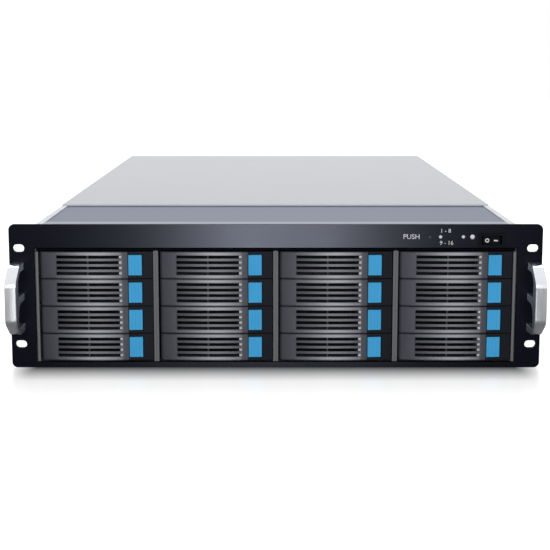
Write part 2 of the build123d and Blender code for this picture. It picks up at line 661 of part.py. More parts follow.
def carrier_lever():
    """Bowed front with four rows of slots, hollow behind, that swings on the pin at its left end."""
    pivot = Pos(PIVOT_U, PIVOT_Y)
    nose_back = PIVOT_Y - NOSE_REACH
    plan = bowed_band(PIVOT_U, LEVER_END, 0, LEVER_BACK) + pivot * Circle(KNUCKLE_RADIUS)
    plan += pivot * Circle(NOSE_RADIUS) & rect(PIVOT_U - NOSE_RADIUS, PIVOT_U, 0, nose_back)
    lever = along_z(plan, -FRONT_TOP, FRONT_TOP)
    lug_radius = KNUCKLE_RADIUS + FIT_GAP
    knuckle_right = PIVOT_U + lug_radius
    hollow_left = knuckle_right + LEVER_FLANGE
    hollow = bowed_band(hollow_left, LEVER_END - LEVER_FLANGE, LEVER_WALL, LEVER_BACK + CUT_EXTRA)
    lever -= along_z(hollow, LEVER_FLANGE - FRONT_TOP, FRONT_TOP - LEVER_FLANGE)
    middle = (SLOT_LEFT + LIGHT_PIPE_LEFT) / 2
    runs = ((SLOT_LEFT, middle - SLOT_RIB / 2), (middle + SLOT_RIB / 2, SLOT_RIGHT))
    for left, right in runs:
        slot = Pos((left + right) / 2, 0) * Rectangle(right - left, SLOT_HEIGHT)
        slots = [place * slot for place in GridLocations(0, SLOT_PITCH, 1, SLOT_ROWS)]
        lever -= [along_y(one, -CUT_EXTRA, PIVOT_Y) for one in slots]
    lug_room = rect(-FRONT_HALF - CUT_EXTRA, knuckle_right, nose_back, LEVER_BACK + CUT_EXTRA)
    lug_room += pivot * Circle(lug_radius)
    lug_low = FRONT_TOP - LUG_HEIGHT - FIT_GAP
    lever -= along_z(lug_room, lug_low, FRONT_TOP + CUT_EXTRA)
    lever -= along_z(lug_room, -FRONT_TOP - CUT_EXTRA, -lug_low)
    return lever - pivot * Cylinder(PIN_RADIUS + PIN_CLEARANCE, FRONT_HEIGHT)


def carrier_latch():
    """Fluted push latch on a stem that runs in the frame behind it."""
    back = FRAME_FRONT - LATCH_TRAVEL - FIT_GAP
    plan = bowed_band(LATCH_LEFT, LATCH_RIGHT, -LATCH_PROUD, back)
    spacing = LATCH_WIDTH / (LATCH_FLUTES + 1)
    for number in range(LATCH_FLUTES):
        u = LATCH_LEFT + (number + 1) * spacing
        front = bow(u) - LATCH_PROUD
        half = LATCH_FLUTE_WIDTH / 2
        flute = Polyline(
            (u - half, front - CUT_EXTRA),
            (u - half, front),
            (u, front + LATCH_FLUTE_DEPTH),
            (u + half, front),
            (u + half, front - CUT_EXTRA),
            close=True,
        )
        plan -= make_face(flute.edges())
    latch = along_z(plan, -LATCH_HEIGHT / 2, LATCH_HEIGHT / 2)
    stem = Pos(LATCH_MID, 0) * Rectangle(LATCH_STEM_WIDTH, LATCH_STEM_HEIGHT)
    return latch + along_y(stem, back, back + LATCH_STEM_LENGTH)


def carrier_frame():
    """Moulded front of the sled: an open plate, hinge lugs at the left and a block round the latch."""
    plate = rect(-FRONT_HALF, FRONT_HALF, -FRONT_TOP, FRONT_TOP)
    window_left = PIVOT_U + KNUCKLE_RADIUS + FRAME_RIM
    window_right = LIGHT_PIPE_LEFT - FRAME_RIM
    plate -= rect(window_left, window_right, FRAME_RIM - FRONT_TOP, FRONT_TOP - FRAME_RIM)
    stem_half = LATCH_STEM_WIDTH / 2 + FIT_GAP
    stem_high = LATCH_STEM_HEIGHT / 2 + FIT_GAP
    plate -= rect(LATCH_MID - stem_half, LATCH_MID + stem_half, -stem_high, stem_high)
    frame = along_y(plate, FRAME_FRONT, FRAME_BACK)
    surround_left = LEVER_END + FIT_GAP
    block = along_z(bowed_band(surround_left, FRONT_HALF, 0, FRAME_FRONT), -FRONT_TOP, FRONT_TOP)
    room = LATCH_HEIGHT / 2 + FIT_GAP
    well = rect(surround_left - CUT_EXTRA, END_BLOCK_U, -room, room)
    frame += block - along_y(well, -CUT_EXTRA, FRAME_FRONT)
    lug = Pos(PIVOT_U, PIVOT_Y) * Circle(KNUCKLE_RADIUS)
    lug += rect(PIVOT_U - KNUCKLE_RADIUS, PIVOT_U + KNUCKLE_RADIUS, PIVOT_Y, FRAME_FRONT)
    lug -= Pos(PIVOT_U, PIVOT_Y) * Circle(PIN_RADIUS + PIN_SEAT_CLEARANCE)
    frame += along_z(lug, FRONT_TOP - LUG_HEIGHT, FRONT_TOP)
    frame += along_z(lug, -FRONT_TOP, LUG_HEIGHT - FRONT_TOP)
    return frame


def sled_pan():
    """Folded steel tray with a window in its floor, fixed to the back of the frame."""
    side_top = PAN_BOTTOM + PAN_SIDE_HEIGHT
    inner = PAN_HALF - PAN_WALL
    section = rect(-PAN_HALF, PAN_HALF, PAN_BOTTOM, side_top)
    section -= rect(-inner, inner, DRIVE_BOTTOM, side_top)
    pan = along_y(section, FRAME_BACK, DRIVE_REAR + PAN_TAIL)
    window = rect(
        PAN_WINDOW_MARGIN - PAN_HALF,
        PAN_HALF - PAN_WINDOW_MARGIN,
        DRIVE_FRONT + PAN_WINDOW_END,
        DRIVE_REAR - PAN_WINDOW_END,
    )
    return pan - along_z(window, PAN_BOTTOM - CUT_EXTRA, DRIVE_BOTTOM)


def disk_drive():
    """Sealed drive with cut corners and a lid that steps in from the casting."""
    half = DRIVE_WIDTH / 2
    lid_low = DRIVE_BOTTOM + DRIVE_HEIGHT - DRIVE_LID_STEP
    casting = rect(-half, half, DRIVE_FRONT, DRIVE_REAR)
    casting = chamfer(casting.vertices(), DRIVE_CORNER)
    inset = DRIVE_LID_INSET
    lid = rect(inset - half, half - inset, DRIVE_FRONT + inset, DRIVE_REAR - inset)
    lid = chamfer(lid.vertices(), DRIVE_CORNER)
    return along_z(casting, DRIVE_BOTTOM, lid_low) + along_z(lid, lid_low, lid_low + DRIVE_LID_STEP)


def light_pipe():
    """Clear upright bar on the frame, with a finger that shows in the end of each slot."""
    front = bow(LIGHT_PIPE_LEFT) + LEVER_WALL + LIGHT_PIPE_SETBACK
    reach = SLOT_PITCH * (SLOT_ROWS - 1) / 2 + SLOT_HEIGHT / 2
    right = SLOT_RIGHT - FIT_GAP
    pipe = along_y(rect(LIGHT_PIPE_LEFT, right, -reach, reach), front, FRAME_FRONT)
    finger_half = SLOT_HEIGHT / 2 - FIT_GAP
    finger = rect(LIGHT_PIPE_LEFT, right, -finger_half, finger_half)
    fingers = [place * finger for place in GridLocations(0, SLOT_PITCH, 1, SLOT_ROWS)]
    tip = bow(right) + LIGHT_FINGER_SETBACK
    return pipe + [along_y(one, tip, front) for one in fingers]


def carrier_sled():
    pin = Pos(PIVOT_U, PIVOT_Y) * Cylinder(PIN_RADIUS, FRONT_HEIGHT)
    return group(carrier_frame(), sled_pan(), disk_drive(), light_pipe(), pin)


# Fans


def fan_frame(x):
    """Square fan housing with a round duct, four struts and a bearing plate at the rear."""
    square = RectangleRounded(FAN_SIZE, FAN_SIZE, FAN_CORNER)
    face = square - Circle(FAN_DUCT_RADIUS)
    screw_hole = Circle(FAN_SCREW_RADIUS)
    face -= [place * screw_hole for place in GridLocations(FAN_SCREW_SPAN, FAN_SCREW_SPAN, 2, 2)]
    frame = along_y(face, FAN_FRONT, REAR_INSIDE)
    struts = Rectangle(FAN_SIZE, FAN_STRUT_WIDTH) + Rectangle(FAN_STRUT_WIDTH, FAN_SIZE)
    struts = (struts & Circle(FAN_DUCT_RADIUS + FAN_DUCT_WALL / 2)) + Circle(FAN_HUB_RADIUS)
    struts -= Circle(FAN_SHAFT_RADIUS + FAN_SHAFT_CLEARANCE)
    frame += along_y(struts, REAR_INSIDE - FAN_MOUNT_THICKNESS, REAR_INSIDE)
    return Pos(x, 0, FAN_Z) * frame


def fan_blade():
    """One flat blade along +X, pitched, and wider at its tip than at its root."""
    root = FAN_HUB_RADIUS - CUT_EXTRA
    corner = FAN_BLADE_TIP / 2 * math.sin(math.radians(FAN_BLADE_PITCH))
    tip = math.sqrt((FAN_DUCT_RADIUS - FAN_TIP_GAP) ** 2 - corner**2)
    outline = Polyline(
        (root, -FAN_BLADE_ROOT / 2),
        (tip, -FAN_BLADE_TIP / 2),
        (tip, FAN_BLADE_TIP / 2),
        (root, FAN_BLADE_ROOT / 2),
        close=True,
    )
    blade = along_z(make_face(outline.edges()), -FAN_BLADE_THICKNESS / 2, FAN_BLADE_THICKNESS / 2)
    return Rot(FAN_BLADE_PITCH, 0, 0) * blade


def fan_rotor(x):
    """Hub with seven pitched blades and a shaft in the bearing plate."""
    hub_front = FAN_FRONT + FAN_RUNNING_GAP
    hub_back = REAR_INSIDE - FAN_MOUNT_THICKNESS - FAN_RUNNING_GAP
    rotor = pin_along_y(FAN_HUB_RADIUS, hub_front, hub_back)
    blade = Pos(0, (hub_front + hub_back) / 2, 0) * fan_blade()
    rotor += [Rot(0, number * 360 / FAN_BLADES, 0) * blade for number in range(FAN_BLADES)]
    rotor += pin_along_y(FAN_SHAFT_RADIUS, hub_back, hub_back + FAN_SHAFT_LENGTH)
    return Pos(x, 0, FAN_Z) * rotor


# Rear modules


def power_supply(number):
    """Plug-in supply: case with an inlet and vents, a pull handle and a release tab."""
    left = supply_left(number)
    middle = left + SUPPLY_WIDTH / 2
    outline = rect(left, left + SUPPLY_WIDTH, SHEET, SUPPLY_TOP)
    case = along_y(outline, SUPPLY_REAR - SUPPLY_LENGTH, SUPPLY_REAR)
    inlet_x = middle + INLET_OFFSET
    inlet_z = SHEET + INLET_FLOOR + INLET_HEIGHT / 2
    mouth = Pos(inlet_x, inlet_z) * Rectangle(INLET_WIDTH, INLET_HEIGHT)
    mouth = chamfer(mouth.vertices().group_by(Axis.Y)[-1], INLET_CORNER)
    case -= along_y(mouth, SUPPLY_REAR - INLET_DEPTH, SUPPLY_REAR)
    pin_width, pin_height, pin_length = INLET_PIN
    for step, spread in ((-1, -1), (1, 0), (-1, 1)):
        pin_x = inlet_x + spread * INLET_PIN_SPREAD
        pin_z = inlet_z + step * INLET_PIN_STEP / 2
        pin = Pos(pin_x, pin_z) * Rectangle(pin_width, pin_height)
        case += along_y(pin, SUPPLY_REAR - INLET_DEPTH, SUPPLY_REAR - INLET_DEPTH + pin_length)
    vent = Rectangle(SUPPLY_VENT_LENGTH, SUPPLY_VENT_HEIGHT)
    for row in range(SUPPLY_VENT_COUNT):
        vent_z = SHEET + SUPPLY_VENT_FLOOR + row * SUPPLY_VENT_PITCH
        case -= along_y(Pos(middle, vent_z) * vent, SUPPLY_REAR - SUPPLY_VENT_DEPTH, SUPPLY_REAR)
    half = BAIL_SPAN / 2
    outer = rect(-half, half, 0, BAIL_REACH)
    outer = fillet(outer.vertices().group_by(Axis.Y)[-1], BAIL_ROUND)
    bail_plan = outer - rect(BAIL_BAR - half, half - BAIL_BAR, -CUT_EXTRA, BAIL_REACH - BAIL_BAR)
    bail_z = SHEET + BAIL_HEIGHT
    bail = Pos(middle, SUPPLY_REAR) * along_z(bail_plan, bail_z - BAIL_BAR / 2, bail_z + BAIL_BAR / 2)
    tab_left = middle - TAB_OFFSET
    tab = rect(tab_left, tab_left + TAB_WIDTH, inlet_z - TAB_HEIGHT / 2, inlet_z + TAB_HEIGHT / 2)
    return [case, bail, along_y(tab, SUPPLY_REAR, SUPPLY_REAR + TAB_PROUD)]


def io_canister():
    """Plug-in interface canister with cable ports, a service port and two captive knobs."""
    right = CANISTER_X + CANISTER_WIDTH
    case = along_y(rect(CANISTER_X, right, SHEET, CANISTER_TOP), SUPPLY_REAR - CANISTER_LENGTH, SUPPLY_REAR)
    for number in range(PORT_COUNT):
        x = CANISTER_X + PORT_FIRST + number * PORT_PITCH
        port = Pos(x, SHEET + PORT_FLOOR + PORT_HEIGHT / 2) * Rectangle(PORT_WIDTH, PORT_HEIGHT)
        case -= along_y(port, SUPPLY_REAR - PORT_DEPTH, SUPPLY_REAR)
    service_x = CANISTER_X + PORT_FIRST
    service_z = SHEET + SERVICE_PORT_FLOOR + SERVICE_PORT / 2
    service = Pos(service_x, service_z) * Rectangle(SERVICE_PORT, SERVICE_PORT)
    case -= along_y(service, SUPPLY_REAR - PORT_DEPTH, SUPPLY_REAR)
    knob_z = SHEET + CANISTER_HEIGHT / 2
    knobs = [
        pin_along_y(KNOB_RADIUS, SUPPLY_REAR, SUPPLY_REAR + KNOB_LENGTH, x, knob_z)
        for x in (CANISTER_X + KNOB_INSET, right - KNOB_INSET)
    ]
    return [case, *knobs]


# Nodes

nodes = {
    "chassis_base": group(body_shell(), rear_wall()),
    "top_cover": top_cover(),
    "front_panel": group(
        front_panel(),
        *panel_brackets(),
        switch_housing(),
        control_board(),
        *[lamp(x, radius) for x, radius in zip(LAMP_X, LAMP_RADIUS)],
    ),
    "reset_button": reset_button(),
    "power_rocker": power_rocker(),
    "drive_cage": drive_cage(),
    "backplane": backplane(),
    "fan_frames": group(*[fan_frame(x) for x in FAN_X]),
    "fan_rotor_left": fan_rotor(FAN_X[0]),
    "fan_rotor_right": fan_rotor(FAN_X[1]),
    "rear_modules": group(
        *[piece for number in range(SUPPLY_COUNT) for piece in power_supply(number)],
        *io_canister(),
    ),
}
handle = rack_handle()
nodes["rack_handles"] = group(
    *[Pos(side * HANDLE_SPAN / 2, 0, PANEL_HEIGHT / 2) * handle for side in (-1, 1)],
)
sled = carrier_sled()
lever = carrier_lever()
latch = carrier_latch()
for row in range(ROWS):
    for column in range(COLUMNS):
        bay = f"{row + 1}{'abcd'[column]}"
        place = Pos(column_x(column), 0, row_z(row))
        nodes[f"sled_{bay}"] = place * sled
        nodes[f"lever_{bay}"] = place * lever
        nodes[f"latch_{bay}"] = place * latch

os.makedirs("parts", exist_ok=True)
for name, shape in nodes.items():
    export_step(Pos(0, -ORIGIN_Y, 0) * shape, f"parts/{name}.step")
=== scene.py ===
import bmesh
import bpy
import json
import math
from mathutils import Matrix, Vector


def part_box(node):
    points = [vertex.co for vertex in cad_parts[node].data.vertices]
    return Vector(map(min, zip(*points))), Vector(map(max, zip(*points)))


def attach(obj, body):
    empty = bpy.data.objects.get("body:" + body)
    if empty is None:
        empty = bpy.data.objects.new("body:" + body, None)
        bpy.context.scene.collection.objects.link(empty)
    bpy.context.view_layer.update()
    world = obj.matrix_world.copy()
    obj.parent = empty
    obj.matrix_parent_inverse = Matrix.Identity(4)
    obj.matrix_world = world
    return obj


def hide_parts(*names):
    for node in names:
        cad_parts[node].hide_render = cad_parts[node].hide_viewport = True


# Frame
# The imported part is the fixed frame. Every piece below is cut from its solids or placed from its boxes,
# in metres, with x to the right, y to the rear and z up.
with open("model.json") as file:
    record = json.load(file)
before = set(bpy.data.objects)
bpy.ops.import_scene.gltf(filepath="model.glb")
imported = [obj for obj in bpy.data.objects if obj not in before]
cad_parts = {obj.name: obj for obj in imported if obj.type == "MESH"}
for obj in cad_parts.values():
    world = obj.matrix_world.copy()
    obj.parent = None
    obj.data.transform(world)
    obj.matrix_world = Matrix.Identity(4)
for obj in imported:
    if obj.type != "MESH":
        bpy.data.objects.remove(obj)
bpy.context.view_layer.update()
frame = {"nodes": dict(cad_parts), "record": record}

# Body
# A tray folded from galvanised steel sheet, with a floor, two sides and narrow flanges along their top edges.
# The rear wall is a second sheet with punched vents, and blind rivets hold the cage to the sides.
# The sides' folded front edges, which show beside the carriers, are painted grey, and black on their outer
# side and above the carriers, which is painted shade.
MM = 0.001
BODY_EDGE = 0.2 * MM
EDGE_PAINT = 4 * MM
EDGE_SHADE_WIDTH = 0.8 * MM
EDGE_GREY = (0.15, 0.153, 0.16)
EDGE_SHADE = (0.002, 0.002, 0.002)
CRYSTALS_PER_METRE = 140.0
MERGE = 0.001 * MM
FLAT = math.radians(0.3)
SHARP = math.radians(35)
RIVET_RADIUS = 2.4 * MM
RIVET_HEIGHT = 0.9 * MM
RIVET_ROWS = (16 * MM, 104 * MM)
RIVET_DEPTHS = (45 * MM, 110 * MM, 175 * MM)
EDGE_STEPS = 2
HEAD_SIDES = 20
HEAD_STEPS = 3
HEAD_TAPER = 0.86
HEAD_ROUNDING = 0.4
RECESS_RIM = 0.42
LEVEL = 0.99


class Wire:
    """A socket in a material's node tree, so that sums of sockets read as plain arithmetic."""

    def __init__(self, tree, socket):
        self.tree = tree
        self.socket = socket

    def node(self, kind, settings=None, out=0, **sockets):
        """Adds a node with its settings, then the values or links of its sockets, and gives one output."""
        made = self.tree.nodes.new(kind)
        for name, value in (settings or {}).items():
            setattr(made, name, value)
        for name, value in sockets.items():
            target = made.inputs[int(name[1:]) if name[1:].isdigit() else name]
            if isinstance(value, Wire):
                self.tree.links.new(value.socket, target)
            else:
                target.default_value = value
        return Wire(self.tree, made.outputs[out])

    def math(self, operation, first, second=0.0):
        """A Math node on two values or sockets."""
        return self.node("ShaderNodeMath", {"operation": operation}, i0=first, i1=second)

    def vector(self, operation, other=(0, 0, 0), out=0):
        """A Vector Math node on this vector and another."""
        return self.node("ShaderNodeVectorMath", {"operation": operation}, out=out, i0=self, i1=other)

    def __add__(self, other):
        return self.math("ADD", self, other)

    def __sub__(self, other):
        return self.math("SUBTRACT", self, other)

    def __rsub__(self, other):
        return self.math("SUBTRACT", other, self)

    def __mul__(self, other):
        return self.math("MULTIPLY", self, other)

    def __truediv__(self, other):
        return self.math("DIVIDE", self, other)

    def __rtruediv__(self, other):
        return self.math("DIVIDE", other, self)

    def __abs__(self):
        return self.math("ABSOLUTE", self)

    __radd__ = __add__
    __rmul__ = __mul__

    def between(self, low, high):
        """A colour from low to high, each a colour or a socket, as this value goes from 0 to 1."""
        low, high = (side if isinstance(side, Wire) else (*side, 1) for side in (low, high))
        return self.node("ShaderNodeMix", {"data_type": "RGBA"}, out=2, i0=self, i6=low, i7=high)

    def around(self, colour, less, more):
        """Shades of one colour, from a share less to a share more of it, as this value goes from 0 to 1."""
        return self.between([tone * less for tone in colour], [tone * more for tone in colour])

    def above(self, level):
        """1 where this value is over a level, 0 elsewhere."""
        return self.math("GREATER_THAN", self, level)

    def ramp(self, start, full, low, high):
        """Runs evenly from low to high as this value goes from start to full, and is level past both."""
        return self.node("ShaderNodeMapRange", i0=self, i1=start, i2=full, i3=low, i4=high)

    def part(self, axis):
        """The x, y or z of a vector."""
        return self.node("ShaderNodeSeparateXYZ", out="xyz".index(axis), i0=self)

    def noise(self, per_metre, stretch=(1, 1, 1), detail=2.0):
        """Soft noise on this vector, from about 0.3 to 0.7, drawn out along axes with a small stretch."""
        drawn = self.node("ShaderNodeMapping", Vector=self, Scale=stretch)
        return self.node("ShaderNodeTexNoise", Vector=drawn, Scale=per_metre, Detail=detail)

    def to(self, shader, socket):
        """Links this socket to one of a shader's."""
        self.tree.links.new(self.socket, shader.inputs[socket])

    def bump(self, shader, strength, depth):
        """This value as fine relief on a shader."""
        relief = self.node("ShaderNodeBump", Strength=strength, Distance=depth, Height=self)
        relief.to(shader, "Normal")


def new_finish(name, **constants):
    """A material with its shader and the object's own coordinates."""
    material = bpy.data.materials.new(name)
    material.use_nodes = True
    tree = material.node_tree
    shader = tree.nodes["Principled BSDF"]
    for socket, value in constants.items():
        shader.inputs[socket.replace("_", " ")].default_value = value
    place = Wire(tree, tree.nodes.new("ShaderNodeTexCoord").outputs["Object"])
    return material, shader, place


def galvanised(name, dull, bright, corner=(0, -1, 0), paint=(0, 0, 0)):
    """Zinc-coated sheet: small crystals that differ a little in tone and gloss.

    It is painted before the corner's depth, and black there past the corner's width and height, a painted
    shade.
    """
    material, shader, place = new_finish(name)
    crystal = place.node("ShaderNodeTexVoronoi", out=1, Vector=place, Scale=CRYSTALS_PER_METRE)
    tone = crystal.node("ShaderNodeSeparateColor", i0=crystal)
    cloud = place.noise(per_metre=9.0)
    half, depth, top = corner
    across = place.part("x")
    # Black past the corner's width and height: painted shade.
    past = across.math("MAXIMUM", abs(across).above(half), place.part("z").above(top))
    behind_front = place.part("y").above(depth)
    zinc = (tone * 0.5 + cloud * 0.5).between(dull, bright)
    behind_front.between(past.between(paint, EDGE_SHADE), zinc).to(shader, "Base Color")
    (behind_front * 0.75).to(shader, "Metallic")
    (0.34 + tone * 0.1 + cloud * 0.08).to(shader, "Roughness")
    return material


def solids(node):
    """The closed solids of a CAD node, the one with the largest box first, with their flat faces whole."""
    whole = bmesh.new()
    whole.from_mesh(frame["nodes"][node].data)
    bmesh.ops.remove_doubles(whole, verts=whole.verts, dist=MERGE)
    whole.faces.index_update()
    left = set(whole.faces)
    shapes = []
    for first in whole.faces:
        if first not in left:
            continue
        left.remove(first)
        queue = [first]
        keep = {first.index}
        while queue:
            for edge in queue.pop().edges:
                for face in edge.link_faces if edge.is_manifold else ():
                    if face in left:
                        left.remove(face)
                        keep.add(face.index)
                        queue.append(face)
        shape = whole.copy()
        shape.faces.index_update()
        others = [face for face in shape.faces if face.index not in keep]
        bmesh.ops.delete(shape, geom=others, context="FACES")
        bmesh.ops.dissolve_limit(shape, angle_limit=FLAT, verts=shape.verts, edges=shape.edges)
        shapes.append(shape)
    whole.free()
    return sorted(shapes, key=lambda shape: -math.prod(span(shape)))


def corners(shape):
    """Lowest and highest corner of a bmesh."""
    low = Vector(min(vert.co[axis] for vert in shape.verts) for axis in range(3))
    high = Vector(max(vert.co[axis] for vert in shape.verts) for axis in range(3))
    return low, high


def span(shape):
    """Size of a bmesh along x, y and z."""
    low, high = corners(shape)
    return high - low


def round_off(shape, edges, size, steps):
    """Rounds some edges of a bmesh."""
    bmesh.ops.bevel(
        shape,
        geom=edges,
        offset=size,
        affect="EDGES",
        segments=steps,
        profile=0.5,
        material=-1,
        clamp_overlap=True,
    )


def soften(shape, edge):
    """Rounds the sharp edges of a bmesh."""
    sharp = [one for one in shape.edges if one.is_manifold and one.calc_face_angle() > SHARP]
    round_off(shape, sharp, edge, EDGE_STEPS)


def make(name, shape, finish, body, edge=0.0, node=None):
    """Makes a piece of a bmesh: softens its edges, shades its curves smooth and sets it on its body."""
    if edge:
        soften(shape, edge)
    mesh = bpy.data.meshes.new(name)
    shape.to_mesh(mesh)
    shape.free()
    mesh.shade_smooth()
    mesh.set_sharp_from_angle(angle=SHARP)
    mesh.materials.append(finish)
    piece = bpy.data.objects.new(name, mesh)
    bpy.context.scene.collection.objects.link(piece)
    flats = piece.modifiers.new("flats", "WEIGHTED_NORMAL")
    flats.keep_sharp = True
    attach(piece, body)
    if node:
        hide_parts(node)
    return piece


def heads(places, facing, radius, height, recess=0.0):
    """Low round heads on a face: rivets, or screws where they have a recess."""
    shape = bmesh.new()
    facing = Vector(facing)
    turn = Vector((0, 0, 1)).rotation_difference(facing).to_matrix().to_4x4()
    lift = Matrix.Translation((0, 0, height / 2))
    for place in places:
        made = bmesh.ops.create_cone(
            shape,
            cap_ends=True,
            segments=HEAD_SIDES,
            radius1=radius,
            radius2=radius * HEAD_TAPER,
            depth=height,
            matrix=Matrix.Translation(place) @ turn @ lift,
        )
        faces = {face for vert in made["verts"] for face in vert.link_faces}
        cap = max(faces, key=lambda face: face.calc_center_median().dot(facing))
        round_off(shape, list(cap.edges), height * HEAD_ROUNDING, HEAD_STEPS)
        if recess:
            near = [face for face in shape.faces if (face.calc_center_median() - place).length < radius]
            top = max(near, key=lambda face: face.calc_area() * (face.normal.dot(facing) > LEVEL))
            bmesh.ops.inset_region(shape, faces=[top], thickness=radius * RECESS_RIM)
            bmesh.ops.translate(shape, verts=top.verts, vec=-recess * facing)
    return shape


shell, wall = solids("chassis_base")
body_low, body_high = corners(shell)
body_front = body_low.y
carrier_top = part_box("lever_1a")[1].z
edge_corner = (body_high.x - EDGE_SHADE_WIDTH, body_front + EDGE_PAINT, carrier_top)
body_zinc = galvanised("body_zinc", (0.50, 0.52, 0.55), (0.62, 0.64, 0.67), edge_corner, EDGE_GREY)
make("body_shell", shell, body_zinc, "shelf", BODY_EDGE, "chassis_base")
make("rear_wall", wall, body_zinc, "shelf", BODY_EDGE)
for side, x in (("left", body_low.x), ("right", body_high.x)):
    spots = [Vector((x, body_front + depth, z)) for depth in RIVET_DEPTHS for z in RIVET_ROWS]
    rivets = heads(spots, (math.copysign(1, x), 0, 0), RIVET_RADIUS, RIVET_HEIGHT)
    make(f"body_rivets_{side}", rivets, body_zinc, "shelf")

# Drive cage
# Painted steel walls between the columns, each with a grooved face strip, under a near black sheet ceiling,
# whose black is painted shade over the carriers.
# Black moulded runners snap into the walls, and a painted plate closes the top behind the front panel.
CAGE_EDGE = 0.15 * MM


def painted(name, colour, roughness, grain=0.04, **constants):
    """Satin coating: even colour with a faint orange peel and a little cloud in its gloss."""
    material, shader, place = new_finish(name, **constants)
    cloud = place.noise(per_metre=14.0)
    cloud.around(colour, 0.92, 1.08).to(shader, "Base Color")
    (roughness - 0.04 + cloud * 0.08).to(shader, "Roughness")
    place.noise(per_metre=1800.0).bump(shader, grain, 0.02 * MM)
    return material


def moulded(name, colour, roughness, grain=0.12, **constants):
    """Moulded plastic with the fine texture of its mould."""
    material, shader, place = new_finish(name, **constants)
    patch = place.noise(per_metre=40.0)
    patch.around(colour, 0.9, 1.1).to(shader, "Base Color")
    (roughness - 0.05 + patch * 0.1).to(shader, "Roughness")
    place.noise(per_metre=3200.0, detail=1.0).bump(shader, grain, 0.03 * MM)
    return material


def left_to_right(shapes):
    """Shapes in the order of their left edges."""
    return sorted(shapes, key=lambda shape: corners(shape)[0].x)


cage_grey = painted("cage_grey", (0.165, 0.168, 0.175), 0.42, Specular_IOR_Level=0.2)
# The ceiling's near black is painted shade in the gap above the carriers.
ceiling_shade_black = painted("ceiling_shade_black", (0.003, 0.003, 0.004), 0.5, Specular_IOR_Level=0.04)
plate_grey = painted("plate_grey", (0.24, 0.27, 0.35), 0.4, Specular_IOR_Level=0.08)
runner_black = moulded("runner_black", (0.02, 0.02, 0.022), 0.5)
cage = sorted(solids("drive_cage"), key=lambda shape: (-span(shape).x, -span(shape).z))
lids = sorted(cage[:2], key=lambda shape: corners(shape)[1].z)
make("cage_ceiling", lids[0], ceiling_shade_black, "shelf", CAGE_EDGE, "drive_cage")
make("front_top_plate", lids[1], plate_grey, "shelf", CAGE_EDGE)
walls = sorted(cage[2:], key=lambda shape: -span(shape).z)
for number, shape in enumerate(left_to_right(walls[:3])):
    make(f"column_wall_{number + 1}", shape, cage_grey, "shelf", CAGE_EDGE)
for number, shape in enumerate(walls[3:]):
    make(f"runner_{number + 1}", shape, runner_black, "shelf", CAGE_EDGE)

# Backplane
# A green lacquered circuit board across the rear of the cage, with air windows and one plug for each drive.
# The plugs are black mouldings, soldered through the board.
TRACKS_PER_METRE = 90.0
TRACK_LEVEL = 0.62


def lacquered(name, dark, light):
    """Circuit board lacquer, a little lighter over its copper tracks."""
    material, shader, place = new_finish(name, Roughness=0.38, Coat_Weight=0.3)
    bands = {"bands_direction": "X"}
    wave = place.node("ShaderNodeTexWave", bands, out=1, Vector=place, Scale=TRACKS_PER_METRE, Distortion=3.0)
    track = wave.above(TRACK_LEVEL)
    (track * 0.6 + place.noise(per_metre=60.0) * 0.4).between(dark, light).to(shader, "Base Color")
    return material


board_green = lacquered("board_green", (0.008, 0.06, 0.028), (0.016, 0.11, 0.05))
plug_black = moulded("plug_black", (0.022, 0.022, 0.024), 0.45)
board, *plugs = solids("backplane")
make("backplane_board", board, board_green, "shelf", CAGE_EDGE, "backplane")
for number, shape in enumerate(plugs):
    make(f"backplane_plug_{number + 1}", shape, plug_black, "shelf", CAGE_EDGE)

# Fans
# Two boxed fans behind the rear wall: black moulded frames with struts and a bearing plate, and a bladed
# rotor in each. Four screws through the wall hold a frame.
FAN_EDGE = 0.35 * MM
SCREW_RADIUS = 3.1 * MM
SCREW_HEIGHT = 1.6 * MM
SCREW_RECESS = 0.9 * MM
FAN_SCREW_INSET = 4.25 * MM
fan_black = moulded("fan_black", (0.018, 0.018, 0.02), 0.42)
rotor_black = moulded("rotor_black", (0.026, 0.026, 0.03), 0.36)


def plated(name, colour, roughness):
    """Bright plating, with fine scratches round the part."""
    material, shader, place = new_finish(name, Metallic=1.0)
    wear = place.noise(per_metre=700.0, detail=4.0)
    wear.around(colour, 0.88, 1.06).to(shader, "Base Color")
    (roughness - 0.06 + wear * 0.12).to(shader, "Roughness")
    return material


screw_plate = plated("screw_plate", (0.60, 0.61, 0.63), 0.3)
wall_outside = body_high.y
for side, shape in zip(("left", "right"), left_to_right(solids("fan_frames"))):
    low, high = corners(shape)
    spots = []
    for x in (low.x + FAN_SCREW_INSET, high.x - FAN_SCREW_INSET):
        for z in (low.z + FAN_SCREW_INSET, high.z - FAN_SCREW_INSET):
            spots.append(Vector((x, wall_outside, z)))
    make(f"fan_frame_{side}", shape, fan_black, "shelf", FAN_EDGE, "fan_frames")
    screws = heads(spots, (0, 1, 0), SCREW_RADIUS, SCREW_HEIGHT, SCREW_RECESS)
    make(f"fan_screws_{side}", screws, screw_plate, "shelf")
    node = f"fan_rotor_{side}"
    rotor = solids(node)[0]
    make(f"rotor_{side}", rotor, rotor_black, f"fan_{side}", FAN_EDGE, node)

